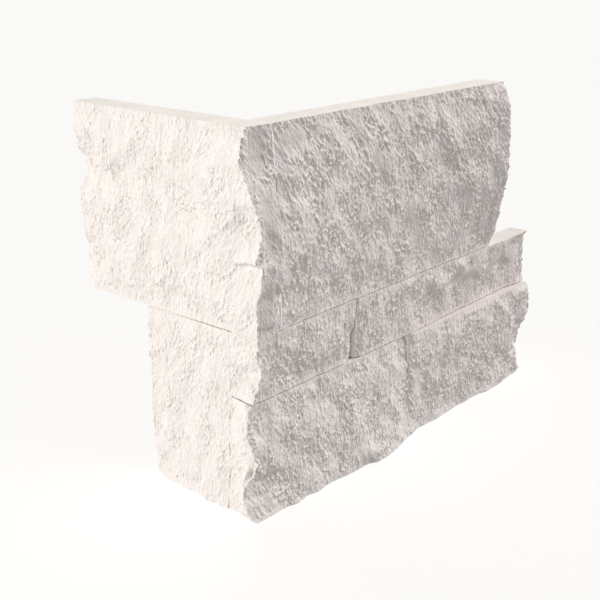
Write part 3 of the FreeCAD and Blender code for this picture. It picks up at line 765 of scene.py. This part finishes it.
def bed_joint(node, above_long, below_long, above_short, below_short, long_end, short_end,
              long_recess, short_recess, resin=RESIN):
    """An L-shaped bed joint: along the long wing to the corner, then along the short wing."""
    low, high = node_box(node)
    bottom, top = low[2] + SKIN, high[2] - SKIN

    def line(above, below, place, depths):
        """The resin's outer edge at each place: the mean face, less how far the resin lies back."""
        levels = np.full_like(place, high[2]), np.full_like(place, low[2])
        height = between(above, below, (place, place), levels)
        return SAWN_EDGE - height + recess(depths, place)

    edge = np.array([SAWN_EDGE])
    corner_x = line(above_short, below_short, edge, short_recess)[0]
    corner_y = line(above_long, below_long, edge, long_recess)[0]
    x = long_end + (corner_x - long_end) * spread(long_end, corner_x, BOND_STEP)
    y = corner_y + (short_end - corner_y) * spread(short_end, corner_y, BOND_STEP)
    long_y = line(above_long, below_long, x, long_recess)
    short_x = line(above_short, below_short, y, short_recess)
    long_y[-1], short_x[0] = corner_y, corner_x
    inner_x = long_end + (BACK - long_end) * (x - long_end) / (corner_x - long_end)
    inner_y = BACK + (short_end - BACK) * (y - corner_y) / (short_end - corner_y)
    outer = np.concatenate([np.stack([x, long_y], -1), np.stack([short_x, y], -1)[1:]])
    inner = np.concatenate([np.stack([inner_x, np.full_like(x, BACK)], -1),
                            np.stack([np.full_like(y, BACK), inner_y], -1)[1:]])
    flat = np.full((len(outer), 1), bottom)
    mesh = bond_mesh(node, np.hstack([outer, flat]), np.hstack([inner, flat]),
                     np.array([0, 0, top - bottom]))
    show(node + "_seam", mesh, (resin,), node)


def upright_joint(node, before, after, axis, depths, resin=RESIN):
    """An upright joint across one wing: axis is 0 where its plane faces along +X, 1 along +Y."""
    low, high = node_box(node)
    start, end = low[axis], high[axis]
    bottom, top = low[2] - UPRIGHT_REACH, high[2] + UPRIGHT_REACH
    level = bottom + (top - bottom) * spread(bottom, top, BOND_STEP)
    places = np.full_like(level, start), np.full_like(level, end)
    height = between(before, after, places, (level, level))
    face = SAWN_EDGE - height + recess(depths, level)
    thin = np.full_like(level, start + SKIN)
    back = np.full_like(level, BACK)
    outer, inner = np.stack([thin, face, level], -1), np.stack([thin, back, level], -1)
    across = np.array([end - start - 2 * SKIN, 0, 0])
    if axis == 1:
        outer, inner, across = outer[:, [1, 0, 2]], inner[:, [1, 0, 2]], across[[1, 0, 2]]
    mesh = bond_mesh(node, outer, inner, across)
    show(node + "_seam", mesh, (resin,), node)


def joined(first, second, at, over=False):
    """Two faces as one: the first up to a place, the second from there on. Where the second lies over
    the first, they change at a level instead."""
    def height_at(place, level):
        in_first = (level if over else place) < at
        pairs = zip(first(place, level), second(place, level))
        return tuple(np.where(in_first, one, other) for one, other in pairs)
    return height_at


lower_bed = (bottom_levels[1] + middle_levels[0]) / 2
corner_ends = joined(bottom_corner_end, middle_corner_end, lower_bed, over=True)
middle_long = joined(middle_corner_long, middle_end_long, middle_perpend)
bottom_long = joined(bottom_corner_long, bottom_end_long, bottom_perpend)
middle_short = joined(middle_corner_end, lower_short, LOWER_CORNER)

# A joint's last lines say how far back its resin lies, as (place, depth), or (level, depth) if upright
bed_joint("upper_bed_adhesive", upper_long, middle_long, upper_short, middle_short,
          upper_high[0] - END_MARGIN, lower_short_high[1] - END_MARGIN,
          [(-0.5, CLOSED), (1.5, OPEN), (150, OPEN)],
          [(-12, 0.25), (-1, 0.25), (0, OPEN), (17, OPEN), (18, 0.7), (28, 0.7), (31, CLOSED),
           (42, CLOSED)])
# The dark grey resin paints shade into this joint's open stretches
bed_joint("lower_bed_adhesive", middle_long, bottom_long, middle_corner_end, bottom_corner_end,
          middle_high[0] - END_MARGIN, -END_MARGIN,
          [(-12, 1.6), (30, 1.8), (60, 1.8), (90, OPEN), (190, OPEN)],
          [(-12, 0.6), (-6, 0.6), (-1, 0.3)], SHADE_RESIN)
# The near-white resin paints a highlight line along this joint's edge, where it would catch the light
upright_joint("upper_corner_adhesive", upper_end, upper_long, 0,
              [(75, PROUD), (101, PROUD), (105, CLOSED), (116, CLOSED), (120, 1.6), (131, 1.6),
               (134, CLOSED), (137, PROUD), (152, PROUD)], HIGHLIGHT_RESIN)
upright_joint("lower_corner_adhesive", corner_ends, lower_short, 1,
              [(0, 0.8), (4, 0.8), (5, CLOSED), (10, CLOSED), (11, 0.9), (16, 0.9), (17, CLOSED),
               (22, CLOSED), (23, 0.6), (27, 0.6), (28, CLOSED), (74, CLOSED)])
# The dark grey resin paints shade into this open joint
upright_joint("middle_perpend_adhesive", middle_corner_long, middle_end_long, 0,
              [(48, 4.6), (66, 4.0), (74, 0.8)], SHADE_RESIN)
upright_joint("bottom_perpend_adhesive", bottom_corner_long, bottom_end_long, 0,
              [(0, CLOSED), (28, CLOSED), (33, 2.0), (38, 4.6), (47, 4.6)])

# Floor, light and camera

FLOOR_RADIUS = 9.0        # metres
FLOOR_SIDES = 96


def floor():
    """A flat round of pale card under the piece, which throws no light back up on it."""
    mesh = bpy.data.meshes.new("floor")
    angles = np.linspace(0, 2 * math.pi, FLOOR_SIDES, endpoint=False)
    ring = np.stack([np.cos(angles), np.sin(angles), np.zeros_like(angles)], axis=-1) * FLOOR_RADIUS
    mesh.from_pydata([tuple(point) for point in ring], [], [tuple(range(len(ring)))])
    piece = bpy.data.objects.new("floor", mesh)
    bpy.context.scene.collection.objects.link(piece)
    material, tree, shader = new_material("pale_card", 0.95, 0.0)
    shader.inputs["Base Color"].default_value = linear("#F0EFED")
    mesh.materials.append(material)
    piece.visible_diffuse = False
    piece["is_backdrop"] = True
    return piece


# Lamps over the piece: where each one's light comes from, as far along as it is strong, its width in
# degrees and its colour. The left one faces the short wing, the right one rakes over the long wing.
LAMPS = {
    "left_window": ((-0.765, 0.27, 0.12), 20.0, (0.995, 1.01, 0.97)),
    "right_window": ((0.485, -0.327, 0.455), 34.0, (0.995, 0.972, 0.97)),
}
FLOOR_WASH = 0.70         # strength of a lamp over the floor alone, in which the piece has no shadow
WHITE = (1.0, 1.0, 1.0)


def lamp(name, source, softness, colour):
    """A broad far lamp, so that its light is even over the whole piece."""
    light = bpy.data.lights.new(name, "SUN")
    light.energy = math.pi * Vector(source).length
    light.angle = math.radians(softness)
    light.color = colour
    piece = bpy.data.objects.new(name, light)
    piece.rotation_mode = "QUATERNION"
    piece.rotation_quaternion = Vector(source).to_track_quat("Z", "Y")
    bpy.context.scene.collection.objects.link(piece)
    return piece


def linked(name, piece, state):
    """A list of objects for a lamp that holds one piece, to be the only one or the one left out."""
    group = bpy.data.collections.new(name)
    group.objects.link(piece)
    group.collection_objects[0].light_linking.link_state = state
    return group


SKY_FILL = 0.40           # strength of the even light from all round
SKY_SEEN = 0.95           # how bright the backdrop shows


def surroundings():
    """Even white surroundings that fill the shadows softly, and a pale backdrop behind the floor."""
    world = bpy.data.worlds.new("studio")
    bpy.context.scene.world = world
    world.use_nodes = True
    tree = world.node_tree
    tree.nodes.clear()
    fill = add(tree, "ShaderNodeBackground", Color=(*WHITE, 1.0), Strength=SKY_FILL)
    seen = add(tree, "ShaderNodeBackground", Color=(*WHITE, 1.0), Strength=SKY_SEEN)
    path = add(tree, "ShaderNodeLightPath").outputs["Is Camera Ray"]
    blend = add(tree, "ShaderNodeMixShader", i0=path, i1=fill.outputs[0], i2=seen.outputs[0])
    add(tree, "ShaderNodeOutputWorld", Surface=blend.outputs[0])


CAMERA_PLACE = (-280.0, -269.9, 214.6)
CAMERA_FORWARD = (0.71317, 0.62391, -0.31958)     # the way that it looks
CAMERA_LENS = 64.8
CAMERA_SENSOR = 36.0


def camera():
    """The photograph's view: from the left of the corner, a little above the top."""
    lens = bpy.data.cameras.new("camera")
    lens.lens = CAMERA_LENS
    lens.sensor_width = CAMERA_SENSOR
    lens.clip_start = 0.01
    lens.clip_end = 100.0
    piece = bpy.data.objects.new("camera", lens)
    turn = Vector(CAMERA_FORWARD).to_track_quat("-Z", "Y").to_matrix().to_4x4()
    piece.matrix_world = Matrix.Translation(Vector(CAMERA_PLACE) * METRE) @ turn
    bpy.context.scene.collection.objects.link(piece)
    bpy.context.scene.camera = piece


card = floor()
all_but_card = linked("all_but_the_card", card, "EXCLUDE")
card_alone = linked("the_card_alone", card, "INCLUDE")
for name, (source, softness, colour) in LAMPS.items():
    lamp(name, source, softness, colour).light_linking.receiver_collection = all_but_card
wash = lamp("floor_wash", (0, 0, FLOOR_WASH), 1.0, WHITE)
wash.light_linking.receiver_collection = card_alone
wash.light_linking.blocker_collection = card_alone
surroundings()
camera()
bpy.context.scene.view_settings.view_transform = "Standard"

low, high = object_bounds()
